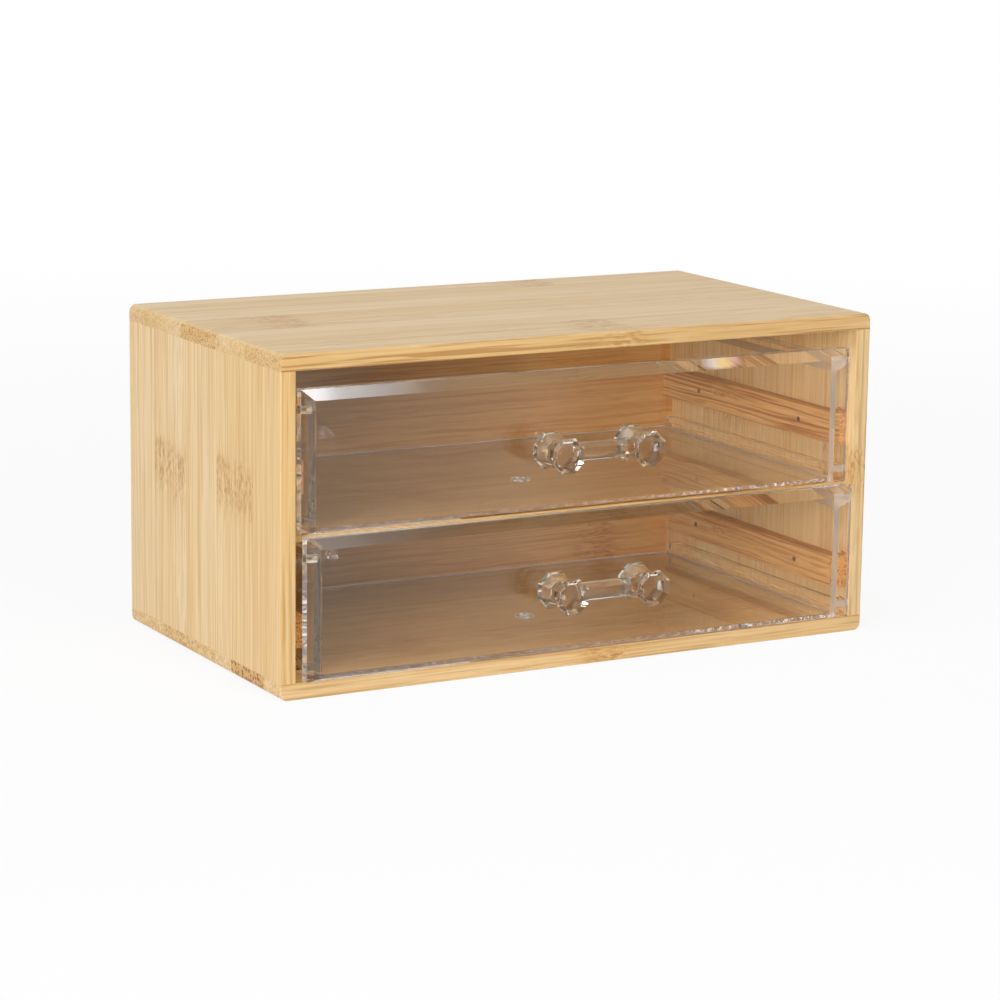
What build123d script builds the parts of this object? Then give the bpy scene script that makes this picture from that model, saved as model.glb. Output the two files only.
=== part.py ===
"""Organizer box with two drawers.

A bamboo box, open at the front, holds two clear plastic drawers one above the other on the
bottom board and on a thin shelf. Each drawer is a moulded tray, a bevelled front plate bonded
to the tray, and a faceted handle bonded to the plate. Bamboo strips on the side boards guide
the trays, and stop the front plates when a drawer is pushed in.

Millimetres. The origin is the middle of the underside, +Z is up, the drawers open along -Y.
"""
import os
from build123d import *

# The box
box_width = 260.0
box_depth = 142.0
box_height = 130.0
board_thickness = 6.4
back_thickness = 4.2
outer_edge_radius = 3.0
board_edge_radius = 0.6
shelf_thickness = 3.0
shelf_groove_depth = 1.6
shelf_groove_play = 0.05

# Guide strips, one on each side of each drawer
strip_thickness = 5.4
strip_height = 13.0
lower_strip_rise = 11.9
upper_strip_rise = 15.5
strip_edge_radius = 0.6

# Dowels between the upright and the level boards
dowel_diameter = 3.0
dowel_count = 3
dowel_depth_in_level_board = 4.2
dowel_depth_in_side_board = 12.0
dowel_end_margin = 18.0
dowel_play = 0.05

# Brads through the guide strips
brad_diameter = 1.2
brad_length = 9.0
brad_head_diameter = 2.2
brad_head_thickness = 0.5
brad_front_margin = 26.0
brad_back_margin = 30.0
brad_play = 0.05

# Clearances around the drawers
front_lift = 0.9
front_side_gap = 2.6
gap_between_fronts = 0.6
gap_above_fronts = 7.3
closing_gap = 0.4
tray_side_gap = 1.7
tray_back_gap = 3.0
flange_side_gap = 2.8
glide_gap = 0.5
glue_line = 0.1
lower_drawer_pulled_out = 5.0

# Drawer front plate
plate_thickness = 5.5
plate_bevel_depth = 1.3
plate_top_bevel = 4.3
plate_side_bevel = 5.2
plate_bottom_bevel = 1.0
plate_edge_radius = 0.35
gate_hole_diameter = 3.3
gate_hole_depth = 4.5
gate_hole_drop = 7.6

# Drawer tray
tray_wall = 2.6
tray_floor = 2.2
tray_outer_corner_radius = 4.0
tray_inner_radius = 0.8
tray_top_drop = 4.05
flange_thickness = 2.7
top_flange_root_thickness = 6.2
low_flange_rise = 4.7
flange_corner_radius = 2.5

# Handle
knob_pitch = 35.8
knob_facets = 8
# Each knob's sections: distance from the plate, width across flats
knob_sections = [(0.0, 12.4), (1.4, 14.2), (3.9, 13.4), (7.6, 9.6),
                 (14.0, 9.6), (16.2, 13.6), (17.8, 11.8)]
bar_height = 7.0
bar_depth = 5.6
bar_facet = 1.7
bar_standoff = 6.6
# How far below the middle of its plate each handle is bonded
handle_drop = {"lower": 1.5, "upper": 2.8}

# Worked out from the sizes above
half_width = box_width / 2
front_y = -box_depth / 2
back_y = box_depth / 2
inner_half_width = half_width - board_thickness
inner_bottom = board_thickness
inner_top = box_height - board_thickness
back_inner_y = back_y - back_thickness
plate_height = (inner_top - inner_bottom - front_lift - gap_between_fronts - gap_above_fronts) / 2
drawer_pitch = plate_height + gap_between_fronts
shelf_top = inner_bottom + drawer_pitch
shelf_bottom = shelf_top - shelf_thickness
plate_half_width = inner_half_width - front_side_gap
plate_back_y = front_y + plate_thickness
seat_y = plate_back_y + closing_gap
strip_inner_x = inner_half_width - strip_thickness
tray_half_width = strip_inner_x - tray_side_gap
flange_half_width = inner_half_width - flange_side_gap
tray_front_y = plate_back_y + glue_line
tray_back_y = back_inner_y - tray_back_gap
sides = {"left": -1, "right": 1}
drawer_floors = {"lower": inner_bottom, "upper": shelf_top}
strip_bottoms = {"lower": inner_bottom + lower_strip_rise, "upper": shelf_top + upper_strip_rise}
pulled_out = {"lower": lower_drawer_pulled_out, "upper": 0.0}


def block(x0, x1, y0, y1, z0, z1):
    """A box between two corners, given in any order along X."""
    low_x = min(x0, x1)
    box = Box(abs(x1 - x0), y1 - y0, z1 - z0, align=(Align.MIN, Align.MIN, Align.MIN))
    return Pos(low_x, y0, z0) * box


def rod_along_z(x, y, z0, z1, diameter):
    rod = Cylinder(diameter / 2, z1 - z0, align=(Align.CENTER, Align.CENTER, Align.MIN))
    return Pos(x, y, z0) * rod


def rod_along_x(x0, x1, y, z, diameter):
    rod = Cylinder(diameter / 2, abs(x1 - x0))
    return Pos((x0 + x1) / 2, y, z) * Rot(0, 90, 0) * rod


def spread(count, first, last):
    """Evenly spaced places from first to last."""
    step = (last - first) / (count - 1)
    return [first + step * number for number in range(count)]


def save(name, shape):
    shape.label = name
    export_step(shape, f"parts/{name}.step")


def dowel_places():
    return spread(dowel_count, front_y + dowel_end_margin, back_y - dowel_end_margin)


def dowel_x(side):
    return side * (half_width - board_thickness / 2)


def dowel_span(level, end_gap):
    """The lowest and highest point of a dowel at the top or bottom joint, or of its hole."""
    short = dowel_depth_in_level_board + end_gap
    long = dowel_depth_in_side_board + end_gap
    if level == "top":
        return inner_top - long, inner_top + short
    return inner_bottom - short, inner_bottom + long


def dowel_holes(level, side):
    low, high = dowel_span(level, dowel_play)
    width = dowel_diameter + 2 * dowel_play
    return [rod_along_z(dowel_x(side), y, low, high, width) for y in dowel_places()]


def make_dowels(level, side):
    low, high = dowel_span(level, 0)
    rods = [rod_along_z(dowel_x(side), y, low, high, dowel_diameter) for y in dowel_places()]
    return Compound(children=rods)


def make_level_board(level):
    """The top or bottom board: its outer edges along the depth are well rounded."""
    low = 0 if level == "bottom" else inner_top
    board = block(-half_width, half_width, front_y, back_y, low, low + board_thickness)
    outer_face = board.faces().sort_by(Axis.Z)[-1 if level == "top" else 0]
    long_edges = outer_face.edges().filter_by(Axis.Y)
    board = fillet(long_edges, min(outer_edge_radius, board_thickness * 0.6))
    for front_or_back in (0, -1):
        rim = board.faces().filter_by(Axis.Y).sort_by(Axis.Y)[front_or_back]
        board = fillet(rim.edges(), board_edge_radius)
    for side in sides.values():
        board = board - dowel_holes(level, side)
    return board


def shelf_groove(side):
    depth = shelf_groove_depth + shelf_groove_play
    inner = side * inner_half_width
    return block(inner, inner + side * depth, seat_y, back_inner_y,
                 shelf_bottom - shelf_groove_play, shelf_top + shelf_groove_play)


def make_side_board(side):
    board = block(side * inner_half_width, side * half_width, front_y, back_y,
                  inner_bottom, inner_top)
    board = fillet(board.edges().filter_by(Axis.Z), board_edge_radius)
    board = board - shelf_groove(side)
    for level in ("top", "bottom"):
        board = board - dowel_holes(level, side)
    for floor in strip_bottoms:
        board = board - brad_holes(floor, side)
    return board


def make_back_board():
    return block(-inner_half_width, inner_half_width, back_inner_y, back_y,
                 inner_bottom, inner_top)


def make_shelf():
    half = inner_half_width + shelf_groove_depth
    shelf = block(-half, half, seat_y, back_inner_y, shelf_bottom, shelf_top)
    front_edges = shelf.faces().sort_by(Axis.Y)[0].edges().filter_by(Axis.X)
    return fillet(front_edges, min(board_edge_radius, shelf_thickness * 0.3))


def brad_places():
    return [seat_y + brad_front_margin, back_inner_y - brad_back_margin]


def brad_shape(side, y, z, play):
    """A brad, or its hole when play is given, driven outwards from the strip's inner face."""
    face = side * strip_inner_x
    tip = face + side * (brad_length + play)
    head_end = face + side * (brad_head_thickness + play)
    shank = rod_along_x(face, tip, y, z, brad_diameter + 2 * play)
    head = rod_along_x(face, head_end, y, z, brad_head_diameter + 2 * play)
    return shank + head


def brad_height(floor):
    return strip_bottoms[floor] + strip_height / 2


def brad_holes(floor, side):
    return [brad_shape(side, y, brad_height(floor), brad_play) for y in brad_places()]


def make_brads(floor, side):
    return Compound(children=[brad_shape(side, y, brad_height(floor), 0) for y in brad_places()])


def make_strip(floor, side):
    low = strip_bottoms[floor]
    strip = block(side * strip_inner_x, side * inner_half_width, seat_y, back_inner_y,
                  low, low + strip_height)
    inner_face = strip.faces().filter_by(Axis.X).sort_by(Axis.X)[0 if side > 0 else -1]
    strip = fillet(inner_face.edges().filter_by(Axis.Y), strip_edge_radius)
    return strip - brad_holes(floor, side)


def make_plate(floor):
    """The front plate: bevelled round the front, flat at the back, a gate hole in the left end."""
    low = drawer_floors[floor] + front_lift
    high = low + plate_height
    shoulder_y = front_y + plate_bevel_depth
    slab = block(-plate_half_width, plate_half_width, shoulder_y, plate_back_y, low, high)
    face_half_width = plate_half_width - plate_side_bevel
    face_height = plate_height - plate_top_bevel - plate_bottom_bevel
    face_middle = low + plate_bottom_bevel + face_height / 2
    shoulder = Plane((0, shoulder_y, low + plate_height / 2), x_dir=(1, 0, 0), z_dir=(0, -1, 0))
    face = Plane((0, front_y, face_middle), x_dir=(1, 0, 0), z_dir=(0, -1, 0))
    bevelled = loft([shoulder * Rectangle(2 * plate_half_width, plate_height),
                     face * Rectangle(2 * face_half_width, face_height)], ruled=True)
    plate = slab + bevelled
    back_rim = plate.faces().filter_by(Axis.Y).sort_by(Axis.Y)[-1]
    plate = fillet(back_rim.edges(), plate_edge_radius)
    side_face_middle = (shoulder_y + plate_back_y) / 2
    return plate - rod_along_x(-plate_half_width, gate_hole_depth - plate_half_width,
                               side_face_middle, high - gate_hole_drop, gate_hole_diameter)


def make_flange(side, top, root_thickness):
    """A flange along the outside of a tray wall. A root thicker than its tip slopes the underside."""
    back = Plane((0, tray_back_y - tray_outer_corner_radius, 0), x_dir=(1, 0, 0), z_dir=(0, -1, 0))
    root_x = side * (tray_half_width - tray_wall / 2)
    tip_x = side * flange_half_width
    outline = Polyline((root_x, top), (tip_x, top), (tip_x, top - flange_thickness),
                       (root_x, top - root_thickness), close=True)
    flange = extrude(back * make_face(outline), back.origin.Y - tray_front_y)
    tip_face = flange.faces().filter_by(Axis.X).sort_by(Axis.X)[-1 if side > 0 else 0]
    back_edge = tip_face.edges().filter_by(Axis.Z).sort_by(Axis.Y)[-1:]
    return fillet(back_edge, flange_corner_radius)


def make_tray(floor):
    """Floor, side walls and back wall, open at the front where the plate is bonded on."""
    low = drawer_floors[floor] + glide_gap
    high = drawer_floors[floor] + front_lift + plate_height - tray_top_drop
    shell = block(-tray_half_width, tray_half_width, tray_front_y, tray_back_y, low, high)
    back_corners = shell.edges().filter_by(Axis.Z).sort_by(Axis.Y)[-2:]
    shell = fillet(back_corners, tray_outer_corner_radius)
    inner = tray_half_width - tray_wall
    hollow = block(-inner, inner, tray_front_y - tray_wall, tray_back_y - tray_wall,
                   low + tray_floor, high + tray_wall)
    floor_edges = hollow.faces().sort_by(Axis.Z)[0].edges().sort_by(Axis.Y)[1:]
    upright_edges = hollow.edges().filter_by(Axis.Z).sort_by(Axis.Y)[-2:]
    tray = shell - fillet(list(floor_edges) + list(upright_edges), tray_inner_radius)
    low_flange_top = drawer_floors[floor] + low_flange_rise + flange_thickness
    for side in sides.values():
        tray = tray + make_flange(side, high, top_flange_root_thickness)
        tray = tray + make_flange(side, low_flange_top, flange_thickness)
    return tray


def make_knob(x, z):
    sections = []
    for reach, across_flats in knob_sections:
        plane = Plane((x, front_y - glue_line - reach, z), x_dir=(1, 0, 0), z_dir=(0, -1, 0))
        octagon = RegularPolygon(across_flats / 2, knob_facets, major_radius=False,
                                 rotation=180 / knob_facets)
        sections.append(plane * octagon)
    return loft(sections, ruled=True)


def make_handle(floor):
    """Two faceted knobs, and a faceted bar between their waists."""
    z = drawer_floors[floor] + front_lift + plate_height / 2 - handle_drop[floor]
    bar_y = front_y - glue_line - bar_standoff - bar_depth / 2
    middle = Plane((-knob_pitch / 2, bar_y, z), x_dir=(0, 1, 0), z_dir=(1, 0, 0))
    outline = Rectangle(bar_depth, bar_height)
    outline = chamfer(outline.vertices(), bar_facet)
    bar = extrude(middle * outline, knob_pitch)
    return make_knob(-knob_pitch / 2, z) + bar + make_knob(knob_pitch / 2, z)


def main():
    os.makedirs("parts", exist_ok=True)
    save("top_board", make_level_board("top"))
    save("bottom_board", make_level_board("bottom"))
    save("back_board", make_back_board())
    save("middle_shelf", make_shelf())
    for side_name, side in sides.items():
        save(f"{side_name}_side_board", make_side_board(side))
        for level in ("top", "bottom"):
            save(f"{level}_{side_name}_dowels", make_dowels(level, side))
        for floor in drawer_floors:
            save(f"{floor}_{side_name}_guide_strip", make_strip(floor, side))
            save(f"{floor}_{side_name}_brads", make_brads(floor, side))
    for floor, distance in pulled_out.items():
        moved = Pos(0, -distance, 0)
        save(f"{floor}_drawer_tray", moved * make_tray(floor))
        save(f"{floor}_drawer_front", moved * make_plate(floor))
        save(f"{floor}_drawer_handle", moved * make_handle(floor))


main()
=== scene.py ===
# %% [markdown]
# # An organizer box with two clear drawers
# The box is a bamboo case with two moulded clear plastic drawers. Its shapes come from CAD as a
# fixed frame, so this lesson is about looks: laminated bamboo, clear plastic, cut-crystal handles,
# and the soft light of a product photograph. Every length here is in metres.

# %% Load the frame
import math
import random

import bmesh
import bpy
from mathutils import Matrix, Vector


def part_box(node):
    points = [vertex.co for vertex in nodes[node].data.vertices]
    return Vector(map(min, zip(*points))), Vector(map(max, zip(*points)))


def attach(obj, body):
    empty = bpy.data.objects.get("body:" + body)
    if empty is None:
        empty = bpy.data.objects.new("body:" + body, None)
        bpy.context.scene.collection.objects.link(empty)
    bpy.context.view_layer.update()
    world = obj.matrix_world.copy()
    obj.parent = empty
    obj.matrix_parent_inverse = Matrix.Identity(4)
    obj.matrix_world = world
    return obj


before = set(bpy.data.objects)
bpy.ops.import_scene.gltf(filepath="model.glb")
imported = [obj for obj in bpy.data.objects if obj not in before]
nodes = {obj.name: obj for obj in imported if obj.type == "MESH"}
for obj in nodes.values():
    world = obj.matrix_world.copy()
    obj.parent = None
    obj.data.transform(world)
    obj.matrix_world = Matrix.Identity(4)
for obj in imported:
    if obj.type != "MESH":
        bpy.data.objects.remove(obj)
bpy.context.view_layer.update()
MM = 0.001
X, Y, Z = 0, 1, 2
LEVELS = ("lower", "upper")

# %% [markdown]
# ## The camera
# The photograph is taken from the front left and a little above, with a long lens, so that the
# upright edges stay almost parallel. The view is written as an azimuth, an elevation and a small
# roll, and the three axes of the camera are worked out from them. A matrix is plainer to check
# than a chain of rotations.

# %% Camera at the photograph's angle
CAMERA_PLACE = Vector((-0.6371, -1.1512, 0.3195))
AZIMUTH, ELEVATION, ROLL = (math.radians(a) for a in (-28.96, 11.491, 0.738))
LENS, SENSOR = 119.71, 36                # focal length and sensor width, in millimetres
SIDE_SHIFT = 0.00245                     # in widths of the picture


def camera_axes(azimuth, elevation, roll):
    """Right, up and backward directions of a camera that looks at the origin's side."""
    back = Vector((math.sin(azimuth) * math.cos(elevation),
                   -math.cos(azimuth) * math.cos(elevation), math.sin(elevation)))
    right = Vector((math.cos(azimuth), math.sin(azimuth), 0))
    up = back.cross(right)
    return (right * math.cos(roll) + up * math.sin(roll),
            up * math.cos(roll) - right * math.sin(roll), back)


camera_data = bpy.data.cameras.new("photo_camera")
camera_data.lens = LENS
camera_data.sensor_width = SENSOR
camera_data.shift_x = SIDE_SHIFT
camera = bpy.data.objects.new("photo_camera", camera_data)
camera.matrix_world = (Matrix.Translation(CAMERA_PLACE)
                       @ Matrix(camera_axes(AZIMUTH, ELEVATION, ROLL)).transposed().to_4x4())
bpy.context.scene.collection.objects.link(camera)
bpy.context.scene.camera = camera
print("camera distance to the box:", round(CAMERA_PLACE.length, 3), "m")

# %% [markdown]
# ## Writing a material as sums
# A procedural material is arithmetic on numbers that vary over the surface. Wiring Math nodes by
# hand hides that arithmetic, so a small class wraps one output and gives it the usual operators.
# `1 - mask` then adds a Math node set to subtract. Colours and vectors go through Mix and Vector
# Math nodes, because a Math node would turn a colour grey.

# %% A wire that can be added and multiplied
class Wire:
    """One output of a node in a finish."""

    def __init__(self, finish, out):
        self.finish, self.out = finish, out

    def math(self, operation, *values):
        return self.finish.node("Math", {"operation": operation}, dict(enumerate(values)))

    def __add__(self, other):
        return self.math("ADD", self, other)

    def __sub__(self, other):
        return self.math("SUBTRACT", self, other)

    def __rsub__(self, other):
        return self.math("SUBTRACT", other, self)

    def __mul__(self, other):
        return self.math("MULTIPLY", self, other)

    def __truediv__(self, other):
        return self.math("DIVIDE", self, other)

    def __abs__(self):
        return self.math("ABSOLUTE", self)

    __radd__, __rmul__ = __add__, __mul__

    def most(self, other):
        return self.math("MAXIMUM", self, other)

    def root(self):
        return self.math("SQRT", self)

    def fade(self, start, end):
        """0 before start and 1 after end, with a soft step; start may be the larger."""
        return self.finish.node("MapRange", {"interpolation_type": "SMOOTHSTEP"},
                                {"Value": self, "From Min": start, "From Max": end})


# %% [markdown]
# ## One way to add a node
# A finish is a tree of nodes that belongs to a material or to the world. Every node comes from
# one method: it takes the kind, the settings, which are made first because some of them change
# the sockets, and the values or wires of the sockets.

# %% A finish and its one method for nodes
class Finish:
    """A material, or the world, while it is being wired."""

    def __init__(self, name, kind="materials"):
        self.owner = getattr(bpy.data, kind).new(name)
        self.owner.use_nodes = True
        self.tree = self.owner.node_tree
        self.tree.nodes.clear()

    def node(self, kind, settings=None, sockets=None, out=0):
        """Adds a node: its settings first, then its sockets, and gives back one of its outputs."""
        made = self.tree.nodes.new("ShaderNode" + kind)
        for name, value in (settings or {}).items():
            if name == "stops":
                for spare in range(len(value) - 2):
                    made.color_ramp.elements.new(0.5)
                for element, (position, colour) in zip(made.color_ramp.elements, value):
                    element.position, element.color = position, (*colour, 1)
            elif name == "ramp":
                made.color_ramp.interpolation = value
            else:
                setattr(made, name, value)
        for name, value in (sockets or {}).items():
            if isinstance(value, Wire):
                self.tree.links.new(value.out, made.inputs[name])
            else:
                made.inputs[name].default_value = value
        return Wire(self, made.outputs[out])

    def parts(self, vector):
        """The three parts of a vector, as wires."""
        return [self.node("SeparateXYZ", None, {0: vector}, axis) for axis in range(3)]

    def place(self, kind="Object"):
        """Where a point of the surface is, or with Normal which way it faces, in three wires."""
        return self.parts(self.node("TexCoord", None, None, kind))

    def vector(self, *parts):
        return self.node("CombineXYZ", None, dict(enumerate(parts)))

    def noise(self, vector, detail=2.0, roughness=0.5):
        """Cloudy noise from 0 to 1; the vector is already scaled."""
        return self.node("TexNoise", {"noise_dimensions": "3D"},
                         {"Vector": vector, "Scale": 1.0, "Detail": detail, "Roughness": roughness})

    def mix(self, factor, first, second, blend="MIX"):
        """One colour laid over another by a factor from 0 to 1."""
        return self.node("Mix", {"data_type": "RGBA", "blend_type": blend},
                         {0: factor, 6: first, 7: second}, 2)

    def blend(self, factor, first, second):
        """One shader that gives way to another by a factor from 0 to 1."""
        return self.node("MixShader", None, {0: factor, 1: first, 2: second})

    def surface(self, shader, kind="OutputMaterial"):
        """Ends the finish: this shader is what the surface shows."""
        end = self.tree.nodes.new("ShaderNode" + kind)
        self.tree.links.new(shader.out, end.inputs["Surface"])
        return self.owner


def paint(material, *names):
    """Gives every slot of these CAD nodes one material."""
    for name in names:
        for slot in nodes[name].material_slots:
            slot.material = material
    print(material.name, "on", ", ".join(names))


# %% [markdown]
# ## Laminated bamboo
# The boards are glued up from bamboo strips about 30 mm wide. Seen along the grain each strip has
# its own tone, long soft streaks, hairline fibres and short dark dashes where bundles of vessels
# come to the surface. Every strip has a joint of the cane, a node, somewhere along it: a short
# patch of brown speckles and small flames, with darker fibres for a few centimetres round it. On
# a sawn end the bundles show as dots.
#
# All of this can come from one block of noise that is stretched along the grain: a side cuts the
# stretched cells lengthwise and shows streaks, an end cuts them across and shows dots. So the
# finish works on the place in space, with no unwrapping, and each board only says which way its
# grain runs and where its strips meet.

# %% Tones of bamboo
PALE = (0.800, 0.600, 0.340, 1)
GOLD = (0.720, 0.480, 0.205, 1)
HONEY = (0.600, 0.330, 0.100, 1)
AMBER = (0.430, 0.215, 0.060, 1)
RUST = (0.400, 0.165, 0.045, 1)
BROWN = (0.270, 0.115, 0.030, 1)
PAINTED_INNER_SHADE = (1.00, 0.92, 0.75, 1)       # painted shade: multiplies the colour of an inner face, for the shade and bounce light inside the box
print("bamboo goes from", PALE[:3], "to", BROWN[:3])

# %% [markdown]
# What a strip keeps over its whole length could be three colour ramps, one for each number. One
# stepped ramp can carry all three, because a colour has three parts.

# %% Strips, side by side
RAMP_LOW, RAMP_SPAN = -0.15, 0.30        # the places that a strip ramp can tell, in metres


def strip_code(f, across, strips):
    """Three numbers that each strip keeps over its whole length: its tone, the place of its node
    along the grain, and how dense its bundles are."""
    stops, begin = [], 0.0
    for end, tone, node_place, dense in strips:
        where = 1.0 if node_place is None else (node_place - RAMP_LOW) / RAMP_SPAN
        stops.append((begin, (tone, where, dense)))
        begin = (end - RAMP_LOW) / RAMP_SPAN
    code = f.node("ValToRGB", {"ramp": "CONSTANT", "stops": stops},
                  {0: (across - RAMP_LOW) / RAMP_SPAN})
    return [f.node("SeparateColor", None, {0: code}, part) for part in range(3)]


# %% Marks of the grain
# cells per metre along the grain, across it and through the board, then detail and roughness
GRAIN = {
    "bands": (2.2, 55, 60, 1.0, 0.5),            # broad soft changes of tone
    "streaks": (5, 230, 230, 3.0, 0.6),          # long soft streaks
    "rings": (8, 620, 620, 2.0, 0.6),            # lines on the edge of a board
    "threads": (11, 1000, 1000, 1.0, 0.5),       # long thin lines on its faces
    "hairs": (13, 1250, 1250, 3.0, 0.6),         # hairline fibres
    "flames": (60, 520, 520, 1.0, 0.5),          # small flames at a node
    "dashes": (70, 1100, 900, 0.0, 0.5),         # short dark dashes
    "speckle": (300, 1150, 1150, 2.0, 0.6),      # speckles at a node
}
BUNDLES_ALONG = 30                       # cells per metre along the grain


def grain_marks(f, along, side, deep, shift, bundle_gap):
    """The marks of one block of wood, as wires by name."""
    marks = {name: f.noise(f.vector(along * long, side * wide, deep * high + shift), detail, rough)
             for name, (long, wide, high, detail, rough) in GRAIN.items()}
    marks["bundles"] = f.node("TexVoronoi", {"feature": "F1", "voronoi_dimensions": "3D"}, {
        "Vector": f.vector(along * BUNDLES_ALONG, side / bundle_gap, deep / bundle_gap + shift),
        "Scale": 1.0, "Randomness": 0.9}, "Distance")
    return marks


print("marks of the grain:", ", ".join(GRAIN))

# %% [markdown]
# The colour is built up like glazes: a pale body, then one thin layer after the other, each with
# a factor that says where it lies and how strong it is. Fine marks also go into the bump.

# %% The bamboo finish
END_STEP = (0.55, 0.85)                  # how squarely a face looks along an axis to count as it
NODE_PATCH = ((0.010, 0.003), (-0.019, -0.003))      # its far and near ends, from the node
NODE_FIBRES = ((0.030, 0.006), (-0.044, -0.006))
NODE_WANDER, FIBRE_WANDER = 0.010, 0.0018
GLUE_LINE = (0.0004, 0.0001)


def bamboo(name, axes, strips, seed, lines, warmth=0.0, edge_lines=0.5, inner=0,
           painted_inner_shade=PAINTED_INNER_SHADE, thread_tone=HONEY, bundle_gap=0.95 * MM):
    """Laminated bamboo. axes tells which of x, y, z runs along the grain, across the strips and
    through the board. strips lists where each ends across, its tone, its node and its density.
    lines is the strength of the long thin lines on the faces, thread_tone their colour, and
    edge_lines the strength of the lines on the edges. inner is +1 or -1 where the face that looks
    that way through the board is an inner face, and 0 where every face is: an inner face has no
    lacquer, and painted_inner_shade multiplies its colour as a painted shade and bounce light for
    the inside of the box. bundle_gap is the distance between the dots on a sawn end."""
    f = Finish(name)
    place, facing = f.place(), f.place("Normal")
    along, across, through = (place[a] for a in axes)
    end_grain = abs(facing[axes[0]]).fade(*END_STEP)
    edge_grain = abs(facing[axes[1]]).fade(*END_STEP)
    tone, node_code, dense = strip_code(f, across, strips)
    shift = tone * 7.3 + dense * 3.1 + seed

    # the fibres wander a little everywhere, and bend round a node
    cloud = f.noise(f.vector(along * 22, across * 60, shift), 1.0)
    from_node = along - (node_code * RAMP_SPAN + RAMP_LOW) + (cloud - 0.5) * NODE_WANDER
    near_node, around_node = (from_node.fade(*after) * from_node.fade(*before)
                              for after, before in (NODE_PATCH, NODE_FIBRES))
    bend = (cloud - 0.5) * FIBRE_WANDER * (near_node * 2.0 + 1)
    marks = grain_marks(f, along, across + bend, through + bend * 0.6, shift, bundle_gap)
    bands, streaks, hairs, speckle = (marks[m] for m in ("bands", "streaks", "hairs", "speckle"))
    threads = marks["threads"].fade(0.60 - lines * 0.08, 0.70 - lines * 0.08)
    dashes = marks["dashes"].fade(0.56, 0.66)
    flames = marks["flames"].fade(0.42, 0.58)
    dots = marks["bundles"].fade(0.56, 0.26)
    glue = abs(across - strips[0][0]).fade(*GLUE_LINE)
    for end, *_ in strips[1:-1]:
        glue = glue.most(abs(across - end).fade(*GLUE_LINE))

    # colour, from the pale body of the wood to the darkest marks
    colour = f.mix((tone * 0.9 + bands * 1.5 + (warmth - 0.72)).fade(0.0, 1.0), PALE, GOLD)
    for amount, over in (
            (streaks.fade(0.48, 0.74) * 0.50, HONEY),
            (hairs.fade(0.45, 0.66) * 0.34, HONEY),
            (hairs.fade(0.50, 0.34) * 0.45, PALE),
            (threads * bands.fade(0.35, 0.55) * lines, thread_tone),
            (dashes * bands.fade(0.60, 0.44) * dense * 0.55, RUST),
            (edge_grain * (edge_lines * 0.45 + 0.05), HONEY),
            (edge_grain * marks["rings"].fade(0.50, 0.62) * edge_lines, AMBER),
            (hairs.fade(0.48, 0.60) * around_node * 0.60, HONEY),
            (flames * near_node * 0.65, HONEY),
            (speckle.fade(0.50, 0.58) * near_node * (flames * 0.6 + 0.4) * 0.85, AMBER),
            (speckle.fade(0.47, 0.38) * near_node * 0.25, PALE),
            (end_grain * dense * 0.70, HONEY),
            (end_grain * dots * (dense * 0.85 + 0.15), BROWN)):
        colour = f.mix(amount, colour, over)
    # Painted shade: inner faces are darkened and warmed to stand in for the shade and bounce light
    # inside the box.
    inside = (facing[axes[2]] * inner).fade(0.3, 0.8) if inner else 1.0
    colour = f.mix(inside, colour, painted_inner_shade, "MULTIPLY")
    colour = f.mix(glue * 0.28, colour, HONEY)

    height = hairs * 0.6 + streaks * 0.3 - dots * end_grain * 0.6 - near_node * speckle * 0.4
    bump = f.node("Bump", None, {"Strength": 0.18, "Distance": 0.4 * MM, "Height": height})
    rough = hairs * 0.10 + streaks * 0.12 + end_grain * 0.18 + 0.36 + inside * 0.25
    return f.surface(f.node("BsdfPrincipled", None, {
        "Base Color": colour, "Roughness": rough, "Normal": bump,
        "Coat Weight": 0.08, "Coat Roughness": 0.30}))


# %% [markdown]
# ## Boards of the case
# Each board gets its own strips. The places where strips meet and where the nodes lie are read
# from the photograph for the left side, the top and the front edge of the bottom. The boards that
# the photograph hides follow the same rule of one node per strip at most.

# %% Side boards
paint(bamboo("bamboo_left_side", (Z, Y, X), [
    (-0.0472, 0.62, None, 0.3), (-0.0145, 0.50, 0.077, 0.5), (0.0147, 0.36, None, 0.2),
    (0.0450, 0.44, 0.073, 0.4), (0.071, 0.30, None, 0.3)],
    3, lines=0.60, inner=1), "left_side_board")
paint(bamboo("bamboo_right_side", (Z, Y, X), [
    (-0.0500, 0.50, 0.070, 0.4), (-0.0205, 0.40, None, 0.2), (0.0110, 0.52, None, 0.5),
    (0.0410, 0.45, 0.084, 0.3), (0.071, 0.40, None, 0.4)],
    8, lines=0.65, inner=-1, painted_inner_shade=(1.0, 0.96, 0.86, 1)), "right_side_board")

# %% Top and bottom boards
paint(bamboo("bamboo_top", (X, Y, Z), [
    (-0.0403, 0.34, 0.016, 0.35), (-0.0131, 0.22, None, 0.1), (0.0189, 0.32, -0.092, 0.6),
    (0.0513, 0.20, None, 0.15), (0.071, 0.28, 0.050, 0.3)],
    5, lines=0.50, warmth=0.35, edge_lines=0.9, inner=-1), "top_board")
paint(bamboo("bamboo_bottom", (X, Y, Z), [
    (-0.0570, 0.26, 0.013, 0.1), (-0.0270, 0.40, -0.060, 1.0), (0.0050, 0.30, None, 0.15),
    (0.0380, 0.36, 0.080, 0.3), (0.071, 0.30, None, 0.1)],
    12, lines=0.7, edge_lines=0.6, inner=1, painted_inner_shade=(1.0, 0.86, 0.60, 1),
    bundle_gap=1.7 * MM), "bottom_board")
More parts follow.
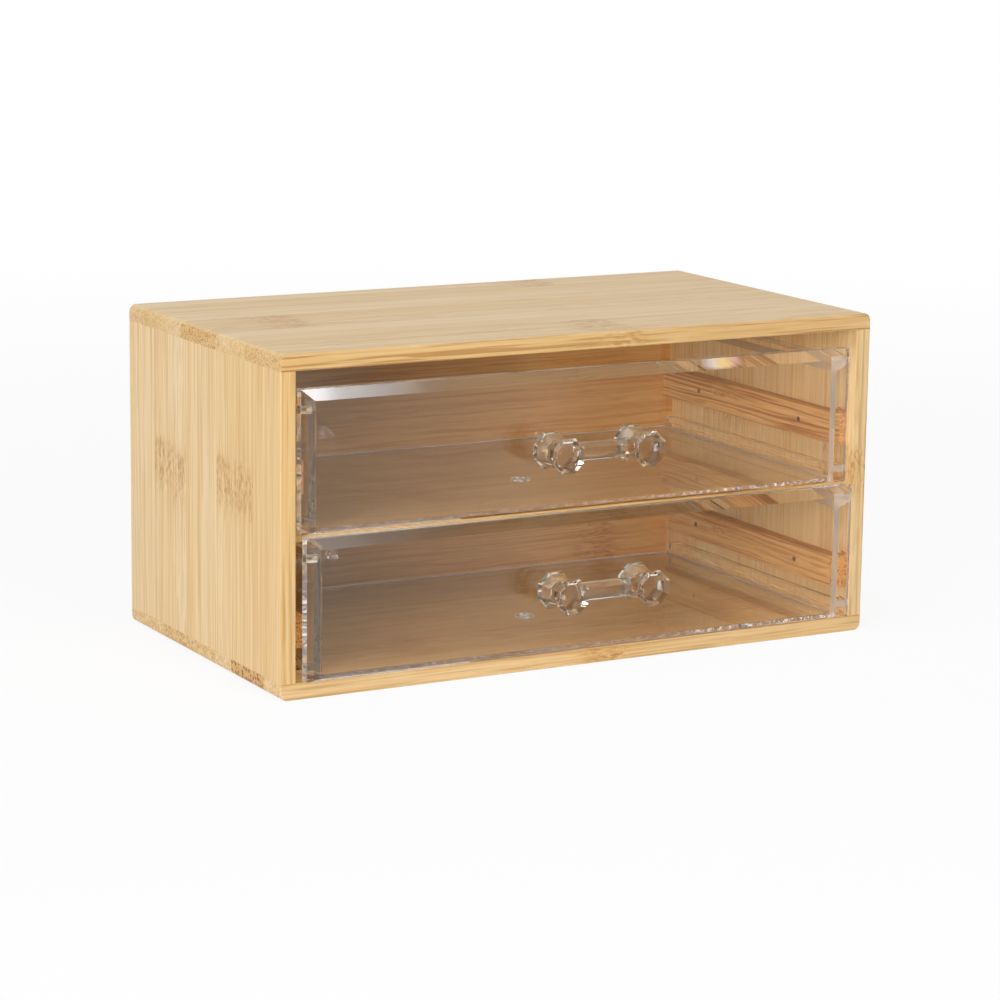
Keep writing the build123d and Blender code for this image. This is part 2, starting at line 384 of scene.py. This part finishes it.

# %% Back board and shelf
# The back board's inner face gets the deepest painted shade.
paint(bamboo("bamboo_back", (X, Z, Y), [
    (0.032, 0.45, 0.085, 0.3), (0.060, 0.55, None, 0.4), (0.091, 0.40, -0.070, 0.3),
    (0.130, 0.50, None, 0.4)],
    15, lines=0.7, inner=-1, painted_inner_shade=(0.94, 0.65, 0.31, 1)), "back_board")
paint(bamboo("bamboo_shelf", (X, Y, Z), [
    (-0.0380, 0.55, None, 0.3), (-0.0080, 0.42, -0.045, 0.4), (0.0240, 0.50, None, 0.3),
    (0.071, 0.46, 0.070, 0.4)],
    21, lines=0.7, warmth=0.1), "middle_shelf")

# %% [markdown]
# ## Guide strips
# The strips that carry the drawers are cut from the dense outer wall of the cane, so their grain
# is redder and its dark lines stand close together. It is the same finish with stronger lines, a
# warmer tone and dark bundles on the sawn end. All their faces lie inside the box, so every face
# gets the painted shade of the inside.

# %% Guide strips
STRIP_SEEDS = {"lower_left": 31, "lower_right": 34, "upper_left": 37, "upper_right": 42}
STRIP_JOINT = 1 * MM                     # the glue line lies this far below the middle
for where, seed in STRIP_SEEDS.items():
    low_corner, high_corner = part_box(where + "_guide_strip")
    middle = (low_corner.z + high_corner.z) / 2
    paint(bamboo("bamboo_strip_" + where, (Y, Z, X), [
        (middle - STRIP_JOINT, 0.75, None, 0.8), (0.150, 0.85, 0.018, 0.95)],
        seed, lines=1.3, warmth=0.6, edge_lines=0.8,
        painted_inner_shade=(1.04, 0.86, 0.66, 1), thread_tone=RUST), where + "_guide_strip")

# %% [markdown]
# ## Dowels and brads
# Both are hidden once the box is glued up. Dowels are turned from pale close-grained wood, with
# rings that show as fine lines along them; brads are drawn steel wire, dulled, with faint drawing
# marks. They still get their own finish, because a part from a library may be taken apart.

# %% Dowel wood
def dowel_wood():
    f = Finish("dowel_wood")
    x, y, z = f.place()
    grain = f.noise(f.vector(x * 1500, y * 1500, z * 60), 3.0, 0.6)
    colour = f.mix(grain.fade(0.35, 0.70), (0.700, 0.520, 0.330, 1), (0.520, 0.350, 0.190, 1))
    bump = f.node("Bump", None, {"Strength": 0.2, "Distance": 0.2 * MM, "Height": grain})
    return f.surface(f.node("BsdfPrincipled", None, {
        "Base Color": colour, "Roughness": grain * 0.2 + 0.5, "Normal": bump}))


paint(dowel_wood(), *[n for n in nodes if n.endswith("_dowels")])


# %% Brad steel
def brad_steel():
    f = Finish("brad_steel")
    x, y, z = f.place()
    marks = f.noise(f.vector(x * 200, y * 6000, z * 6000), 2.0)
    colour = f.mix(marks, (0.30, 0.26, 0.22, 1), (0.19, 0.16, 0.13, 1))
    return f.surface(f.node("BsdfPrincipled", None, {
        "Base Color": colour, "Metallic": 1.0, "Roughness": marks * 0.25 + 0.4}))


paint(brad_steel(), *[n for n in nodes if n.endswith("_brads")])

# %% [markdown]
# ## Clear plastic
# Trays and fronts are moulded in clear polystyrene. A transmission shader bends light as the
# plastic does, but a path tracer then finds lamps through it only by chance, and the wood behind
# would be dark and noisy. The usual cure is a Mix Shader whose factor is Light Path's Is Shadow
# Ray: rays from lamps meet a Transparent shader, all others meet the real plastic.
#
# Moulded faces are never optically flat. A slow wave left by the flow of the plastic goes into
# the bump, and light handling marks go into the roughness. Some faces are never polished: the
# trimmed end of a front, the rims that are bonded, and the small radii inside a tray. They
# scatter light, so there a satin shader is mixed in, by which way the surface faces.

# %% Clear plastic finish
PLASTIC_IOR = 1.59
HANDLE_IOR = 1.42                        # less than real: the facets then mirror less of the white
FAINT = 0.985                            # how much darker the plastic gets in places


def clear_plastic(name, colour, haze, wave, dull=None, satin=None, ior=PLASTIC_IOR):
    """Moulded clear plastic. haze is the roughness of its marks and wave the height of its flow
    marks. dull works out how much a place scatters, from the place and the way it faces, and
    satin is the darker and the paler colour there."""
    f = Finish(name)
    place = f.place()
    x, y, z = place
    flow = f.noise(f.vector(x * 26, y * 26, z * 34), 1.0)
    marks = f.noise(f.vector(x * 420, y * 420, z * 900), 2.0, 0.6).fade(0.62, 0.80)
    faint, middle = (tuple(part * share for part in colour[:3]) + (1,)
                     for share in (FAINT, (1 + FAINT) / 2))
    tint = f.mix(f.noise(f.vector(x * 14, y * 14, z * 14), 0.0), colour, faint)
    bump = f.node("Bump", None, {"Strength": 0.25, "Distance": wave, "Height": flow})
    shader = f.node("BsdfPrincipled", None, {
        "Base Color": tint, "Roughness": marks * haze, "Normal": bump,
        "IOR": ior, "Transmission Weight": 1.0})
    if dull:
        scatter = f.node("BsdfPrincipled", None, {
            "Base Color": f.mix(marks, *satin), "Roughness": 0.35})
        shader = f.blend(dull(place, f.place("Normal")) * (marks * 0.2 + 0.9), shader, scatter)
    lit = f.node("BsdfTransparent", None, {"Color": middle})
    return f.surface(f.blend(f.node("LightPath", None, None, "Is Shadow Ray"), shader, lit))


# %% Where the plastic scatters light
TRAY_FRONT = (-0.060, -0.063)            # y: what lies ahead of it is the rim
LEFT_WALL, RIGHT_WALL = (-0.1138, -0.1130), (0.1130, 0.1138)     # x: their inner faces


def tray_dull(place, facing):
    """The bonded front rims, and the radii round the floor: they look up and sideways at once."""
    nx, ny, nz = (abs(n) for n in facing)
    across = place[X].fade(*LEFT_WALL) * 0.12 + place[X].fade(*RIGHT_WALL) * 0.35 + 0.03
    rims = ny.fade(0.90, 0.99) * place[Y].fade(*TRAY_FRONT) * across
    radii = ((nx + ny) * nz).fade(0.12, 0.40) * 0.60
    return rims.most(radii)


def front_dull(place, facing):
    """The trimmed left end of a front."""
    return facing[X].fade(-0.90, -0.99) * 0.16


# %% Trays, fronts and handles
# Painted light: the tray's satin is tinted like the wood behind it, standing in for the wood's
# light seen through the rims; the rims scatter more at the right wall than at the left.
paint(clear_plastic("clear_tray", (0.995, 0.985, 0.985, 1), 0.05, 0.6 * MM, tray_dull,
                    ((0.80, 0.62, 0.46, 1), (0.92, 0.80, 0.68, 1))),
      "lower_drawer_tray", "upper_drawer_tray")
paint(clear_plastic("clear_front", (0.995, 0.988, 0.988, 1), 0.03, 0.4 * MM, front_dull,
                    ((0.86, 0.86, 0.90, 1), (0.95, 0.95, 0.97, 1))),
      "lower_drawer_front", "upper_drawer_front")
paint(clear_plastic("crystal_handle", (0.980, 0.955, 0.940, 1), 0.02, 0.1 * MM, ior=HANDLE_IOR),
      "lower_drawer_handle", "upper_drawer_handle")

# %% [markdown]
# ## The bond between tray and front
# A front is bonded to the rim of its tray with solvent. Where the solvent took unevenly, a milky
# film with bare patches shows through the plate, along the rim of the tray's floor. Towards the
# right the film is denser, a painted highlight for the light along the plate's bottom edge. It is
# a film with a ragged outline, thinner than the joint, with its own see-through finish: noise in
# the alpha leaves the bare patches.

# %% Bond finish
def bond_finish():
    f = Finish("milky_bond")
    x, y, z = f.place()
    patches = f.noise(f.vector(x * 500, y * 500, z * 320), 3.0, 0.7)
    hatch = f.noise(f.vector((x + z) * 1500, y, (z - x) * 300), 1.0)
    # Painted highlight: the film is denser towards the right, for the light along the bottom edge
    # there.
    glint_towards_right = x.fade(0.02, 0.08) * 0.80 + 0.15
    milk = (patches * 0.6 + hatch * 0.4).fade(0.49, 0.63) * glint_towards_right
    colour = f.mix(hatch, (0.80, 0.74, 0.72, 1), (0.95, 0.93, 0.94, 1))
    return f.surface(f.node("BsdfPrincipled", None, {
        "Base Color": colour, "Roughness": patches * 0.3 + 0.4, "Alpha": milk * 0.8}))


MILKY_BOND = bond_finish()
print("made", MILKY_BOND.name)


# %% A piece that rides on a drawer
def new_piece(name, mesh_maker, material, body):
    """Turns a bmesh into a named piece that rides on a body."""
    mesh = bpy.data.meshes.new(name)
    mesh_maker.to_mesh(mesh)
    mesh_maker.free()
    mesh.materials.append(material)
    piece = bpy.data.objects.new(name, mesh)
    bpy.context.scene.collection.objects.link(piece)
    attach(piece, body)
    return piece


def ragged(start, end, steps, dice, wander):
    """Points from start up to, but not including, end, each moved a little in the plane."""
    return [Vector(start).lerp(Vector(end), i / steps)
            + Vector((dice.uniform(-wander, wander), dice.uniform(-wander, wander)))
            for i in range(steps)]


# %% Bond films
TRAY_FLOOR, OUTER_HALF = 2.2 * MM, 116.5 * MM
FILM_THICKNESS, FILM_INSET = 0.04 * MM, 0.25 * MM
FILM_OFFSET = 0.07 * MM                  # its front face, ahead of the tray's rim
FILM_STEP, FILM_WANDER = 2.5 * MM, 0.12 * MM
FILM_SEEDS = {"lower": 51, "upper": 52}


def bond_film(level, seed):
    """The film on the front rim of one tray's floor."""
    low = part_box(level + "_drawer_tray")[0]
    outer = OUTER_HALF - FILM_INSET
    bottom, top = low.z + FILM_INSET, low.z + TRAY_FLOOR - FILM_INSET
    corners = [(-outer, bottom), (outer, bottom), (outer, top), (-outer, top)]
    dice = random.Random(seed)
    outline = []
    for start, end in zip(corners, corners[1:] + corners[:1]):
        steps = max(2, round((Vector(end) - Vector(start)).length / FILM_STEP))
        outline += ragged(start, end, steps, dice, FILM_WANDER)
    film = bmesh.new()
    front = low.y - FILM_OFFSET
    face = film.faces.new([film.verts.new((x, front, z)) for x, z in outline])
    back = bmesh.ops.extrude_face_region(film, geom=[face])
    bmesh.ops.translate(film, vec=(0, FILM_THICKNESS, 0),
                        verts=[v for v in back["geom"] if isinstance(v, bmesh.types.BMVert)])
    bmesh.ops.recalc_face_normals(film, faces=film.faces)
    piece = new_piece(level + "_drawer_bond", film, MILKY_BOND, level + "_drawer")
    print(piece.name, "has", len(outline), "points round it, at y =", round(front / MM, 2), "mm")


for level in LEVELS:
    bond_film(level, FILM_SEEDS[level])

# %% [markdown]
# ## The gate mark in each tray
# A tray is filled with plastic through a gate in its floor. A stub, a ring and a faint brim stay
# there. They are one turned form, so the piece is a profile spun round its axis. Its finish tells
# them apart by the distance from the middle, which comes from Generated coordinates: they run
# from 0 to 1 across each piece, so one finish serves both trays.

# %% Gate finish
STUB, BRIM = (0.24, 0.16), (0.78, 0.86)  # where they fade, in shares of the mark's radius
RING = ((0.22, 0.28), (0.54, 0.48))      # its inner and outer edges


def gate_finish():
    f = Finish("milky_gate")
    x, y, z = f.place()
    chill = f.noise(f.vector(x * 1600, y * 1600, z * 1600), 2.0)
    broken = f.noise(f.vector(x * 520, y * 520, z * 520), 1.0).fade(0.42, 0.56)
    right, behind = ((share - 0.5) * 2 for share in f.place("Generated")[:2])
    radius = (right * right + behind * behind).root()
    stub, brim = radius.fade(*STUB), radius.fade(*BRIM)
    ring = radius.fade(*RING[0]) * radius.fade(*RING[1])
    milk = (stub * 0.35).most(ring * (broken * 0.45 + 0.50)).most(brim * (broken * 0.60 + 0.10))
    pale = f.mix(chill, (0.94, 0.87, 0.79, 1), (1.00, 0.97, 0.93, 1))
    return f.surface(f.node("BsdfPrincipled", None, {
        "Base Color": f.mix(stub, pale, (0.30, 0.20, 0.13, 1)),
        "Roughness": chill * 0.2 + 0.15, "Alpha": milk + 0.03}))


MILKY_GATE = gate_finish()
print("made", MILKY_GATE.name)

# %% Gate marks
GATE_PROFILE = ((0.0, 1.1), (0.4, 1.0), (0.7, 0.7), (0.9, 0.15), (1.5, 0.10), (1.9, 0.55),
                (2.2, 0.55), (2.5, 0.08), (3.5, 0.06), (3.8, 0.25), (4.1, 0.25),
                (4.4, 0.0))              # radius and height above the floor, in millimetres
GATE_BEHIND_FRONT = 55 * MM
GATE_SIDES = 32
MERGE = 0.01 * MM                        # points closer than this are one


def gate_mark(level):
    """The stub, ring and brim left on the floor of one tray."""
    floor_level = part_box(level + "_drawer_tray")[0].z + TRAY_FLOOR
    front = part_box(level + "_drawer_front")[0].y
    centre = Vector((0, front + GATE_BEHIND_FRONT, floor_level))
    spin = bmesh.new()
    rim = [spin.verts.new(centre + Vector((r * MM, 0, h * MM))) for r, h in GATE_PROFILE]
    edges = [spin.edges.new(pair) for pair in zip(rim, rim[1:])]
    bmesh.ops.spin(spin, geom=rim + edges, cent=centre, axis=(0, 0, 1),
                   angle=2 * math.pi, steps=GATE_SIDES, use_duplicate=False)
    bmesh.ops.remove_doubles(spin, verts=spin.verts, dist=MERGE)
    bmesh.ops.holes_fill(spin, edges=spin.edges, sides=0)
    bmesh.ops.recalc_face_normals(spin, faces=spin.faces)
    for face in spin.faces:
        face.smooth = True
    piece = new_piece(level + "_drawer_gate_mark", spin, MILKY_GATE, level + "_drawer")
    print(piece.name, "at", [round(v / MM, 1) for v in centre], "mm")


for level in LEVELS:
    gate_mark(level)

# %% [markdown]
# ## Floor and backdrop
# The object stands on white. A floor and a room that are lit by the lamps alone would be grey. So
# the camera, and rays that were mirrored or bent, see most of the floor as plain white light, and
# the rest is the real floor, which keeps the object's shadow. No lamp is turned up for it. The
# world does the same: white to those rays, and a dim even light to everything else.

# %% Floor
FLOOR_REACH = 6.0
NEAR_BOX = (0.25, 1.3)                   # the real floor shows most inside this distance


def seen_plainly(f):
    """1 for a ray from the camera or one that was mirrored or bent, and 0 for any other."""
    rays = [f.node("LightPath", None, None, "Is " + kind + " Ray")
            for kind in ("Camera", "Glossy", "Transmission")]
    return (rays[0] + rays[1] + rays[2]).fade(0.0, 1.0)


def sheet_of_paper():
    f = Finish("white_paper")
    fibres = f.noise(f.node("TexCoord", None, None, "Object"), 2.0)
    colour = f.mix(fibres, (0.90, 0.90, 0.90, 1), (0.93, 0.93, 0.93, 1))
    paper = f.node("BsdfPrincipled", None, {"Base Color": colour, "Roughness": 0.9})
    glow = f.node("Emission", None, {"Color": (1, 1, 1, 1), "Strength": 1.0})
    x, y = f.place()[:2]
    far = (x * x + y * y).root().fade(*NEAR_BOX)
    return f.surface(f.blend(seen_plainly(f) * (far * 0.12 + 0.88), paper, glow))


def flat_sheet(name, corners, material):
    """A flat sheet for the stage, which is no part of the object."""
    mesh = bpy.data.meshes.new(name)
    mesh.from_pydata(corners, [], [(0, 1, 2, 3)])
    mesh.materials.append(material)
    sheet = bpy.data.objects.new(name, mesh)
    bpy.context.scene.collection.objects.link(sheet)
    print(name, "from", corners[0], "to", corners[2])
    return sheet


def lying(left, right, front, back, z):
    """Corners of a sheet that lies level."""
    return [(left, front, z), (right, front, z), (right, back, z), (left, back, z)]


flat_sheet("paper_floor", lying(-FLOOR_REACH, FLOOR_REACH, -FLOOR_REACH, FLOOR_REACH, 0),
           sheet_of_paper())

# %% World
sky = Finish("white_room", "worlds")
even_light = sky.node("Background", None, {"Color": (0.98, 0.99, 1.0, 1), "Strength": 0.30})
white = sky.node("Background", None, {"Color": (1, 1, 1, 1), "Strength": 1.0})
bpy.context.scene.world = sky.surface(sky.blend(seen_plainly(sky), even_light, white),
                                      "OutputWorld")
print("world:", bpy.context.scene.world.name)

# %% [markdown]
# ## Lamps
# A large softbox high at the left lights the top and the left side, a smaller one lights the
# left side from the front, and two fills light the drawers' inside. Each fill would show as a
# grey veil in the plates if they mirrored it, so mirrored rays don't see the fills. Bent rays do,
# because they carry the light through the plates.

# %% Softboxes
COOL = (0.94, 0.97, 1.0)
BOX_MIDDLE = Vector((0, 0, 0.065))


def softbox(name, azimuth, elevation, distance, size, power, mirrored=True):
    """A soft light that looks at the middle of the box from an azimuth and an elevation."""
    a, e = math.radians(azimuth), math.radians(elevation)
    data = bpy.data.lights.new(name, "AREA")
    data.shape, data.size, data.size_y = "RECTANGLE", size[0], size[1]
    data.energy, data.color = power, COOL
    lamp = bpy.data.objects.new(name, data)
    lamp.location = BOX_MIDDLE + distance * Vector(
        (math.sin(a) * math.cos(e), -math.cos(a) * math.cos(e), math.sin(e)))
    lamp.rotation_euler = (BOX_MIDDLE - lamp.location).to_track_quat("-Z", "Y").to_euler()
    lamp.visible_camera = False
    lamp.visible_glossy = mirrored
    bpy.context.scene.collection.objects.link(lamp)
    print(name, "at", [round(v, 2) for v in lamp.location])


softbox("left_softbox", -56, 12, 1.7, (0.5, 0.4), 9.6)
softbox("top_softbox", -60, 78, 1.7, (1.2, 1.2), 12.1)
softbox("low_fill", -46, 3, 1.8, (0.8, 0.3), 8.0, mirrored=False)
softbox("front_fill", 12, 26, 1.8, (1.0, 0.5), 8.5, mirrored=False)


# %% [markdown]
# ## What the plastic mirrors
# Clear plastic is seen by what it mirrors. In the photograph the plates mirror a pale strip of
# the table on the left and a darker room elsewhere. So dim warm cards stand round the box as
# table, walls and ceiling, and only mirrored and bent rays can see them. Lamps could do it too,
# but a card can be brighter in one place than in another.
#
# The table lies low in front of the box, and a pulled out drawer stands over it. Through the
# plastic it would look grey there, so the card has a window for rays that were never mirrored.

# %% Cards that only mirrored and bent rays see
WARM = (1.0, 0.91, 0.76)


def card(name, corners, brightness, hue=None, window=None):
    """A flat card. brightness works out how bright it is at a place, and hue may give a colour.
    window works out where a ray that was never mirrored goes through the card."""
    f = Finish(name)
    x, y, z = f.place()
    light = f.node("VectorMath", {"operation": "SCALE"},
                   {0: hue(f, x) if hue else WARM, "Scale": brightness(x, y, z)})
    shader = f.node("Emission", None, {"Color": light, "Strength": 1.0})
    if window:
        never_mirrored = f.node("LightPath", None, None, "Glossy Depth").fade(0.9, 0.1)
        shader = f.blend(never_mirrored * window(y), shader, f.node("BsdfTransparent"))
    sheet = flat_sheet(name, corners, f.surface(shader))
    sheet.visible_camera = sheet.visible_diffuse = sheet.visible_shadow = False


# %% Table, walls and ceiling
ROOM_LEFT, ROOM_RIGHT, ROOM_FRONT, ROOM_BACK, ROOM_TOP = -0.9, 2.6, -2.0, 0.3, 1.6
RIGHT_CARD = 1.9
SLANT = 0.554                            # the mirrored strip of table leans this far per metre
STRIP_EDGE = 0.042


def upright(left, right, y, low, high):
    """Corners of an upright card that faces the drawers."""
    return [(left, y, low), (right, y, low), (right, y, high), (left, y, high)]


def sideways(x, back):
    """Corners of an upright card at one side of the room."""
    return [(x, ROOM_FRONT, 0.0), (x, back, 0.0), (x, back, ROOM_TOP), (x, ROOM_FRONT, ROOM_TOP)]


card("table_card", lying(-1.0, RIGHT_CARD, -1.9, -0.08, 2 * MM),
     lambda x, y, z: (x + y * SLANT + STRIP_EDGE).fade(0.045, -0.03) * 0.52 + 0.30,
     window=lambda y: y.fade(-0.30, -0.22))
card("room_card", upright(ROOM_LEFT, ROOM_RIGHT, ROOM_FRONT, 0.0, ROOM_TOP),
     lambda x, y, z: z.fade(0.0, 4.0) * 0.1 + 0.10)
card("left_card", sideways(ROOM_LEFT, -0.12),
     lambda x, y, z: z.fade(1.0, 0.4) * y.fade(-0.4, -0.9) * y.fade(-1.5, -1.2) * 0.6 + 0.1)
card("right_card", sideways(RIGHT_CARD, ROOM_BACK),
     lambda x, y, z: z.fade(0.0, 4.0) * 0.1 + 0.15)
card("ceiling_card", lying(ROOM_LEFT, ROOM_RIGHT, ROOM_FRONT, ROOM_BACK, ROOM_TOP),
     lambda x, y, z: x.fade(4.0, -2.0) * 0.15)

# %% [markdown]
# The bright end of each sloping edge is the mirror image of one small softbox, white at its left
# and dying away to the right. A little further right the slope shows a few soft colours side by
# side: a painted glint, the mirror image of a second card with the colours painted on it. Both are
# cards with a brightness that fades.

# %% The small softbox
def softbox_light(x, y, z):
    """A white core with a shoulder, a faint tail to the right, and a dim lower part."""
    core, shoulder, tail = x.fade(0.565, 0.530), x.fade(0.650, 0.545), x.fade(0.50, 0.66)
    return (core * 8 + shoulder * 8 + tail * 2.0) * (z.fade(0.52, 0.60) * 0.84 + 0.16)


def softbox_hue(f, x):
    """White, then a little blue, then warm."""
    cool = f.mix(x.fade(0.50, 0.58), (1.0, 0.97, 0.97, 1), (0.85, 0.93, 1.0, 1))
    return f.mix(x.fade(0.60, 0.68), cool, (1.0, 0.76, 0.46, 1))


card("edge_softbox", upright(0.30, 1.10, -1.335, 0.46, 0.76), softbox_light, softbox_hue)

# %% Its colours
GLINT_CARD_COLOURS = ((0.00, (0.80, 0.88, 1.0)), (0.28, (0.45, 0.66, 1.0)), (0.48, (1.0, 1.0, 0.90)),
         (0.64, (1.0, 0.90, 0.35)), (0.84, (0.72, 0.56, 1.0)), (1.00, (1.0, 0.85, 0.80)))
GLINT_CARD_LEFT, GLINT_CARD_RIGHT = 0.836, 0.884


def glint_card_light(x, y, z):
    """Bright in the middle, with soft ends and a soft lower edge."""
    return x.fade(0.838, 0.856) * x.fade(0.884, 0.866) * z.fade(0.6015, 0.6045) * 8


def glint_card_hue(f, x):
    """The colours side by side."""
    return f.node("ValToRGB", {"stops": GLINT_CARD_COLOURS},
                  {0: (x - GLINT_CARD_LEFT) / (GLINT_CARD_RIGHT - GLINT_CARD_LEFT)})


# A card with painted colours, whose mirror image is the coloured glint on the slope.
card("glint_colour_card", upright(GLINT_CARD_LEFT, GLINT_CARD_RIGHT, -1.237, 0.590, 0.640),
     glint_card_light, glint_card_hue)

# %% [markdown]
# ## Bounces
# A ray that enters a clear plate at its edge is mirrored inside it many times before it comes
# out. With few bounces it is cut off and the edge turns black, so the limits go up here. The
# clamp on indirect light goes up too, or the bright ends of the slopes would turn grey.

# %% Light path limits
paths = bpy.context.scene.cycles
paths.max_bounces = paths.transmission_bounces = 48
paths.glossy_bounces = 32
paths.sample_clamp_indirect = 30
paths.transparent_max_bounces = 24
print("bounces:", paths.max_bounces)

# %% Colour view
bpy.context.scene.view_settings.view_transform = "Standard"
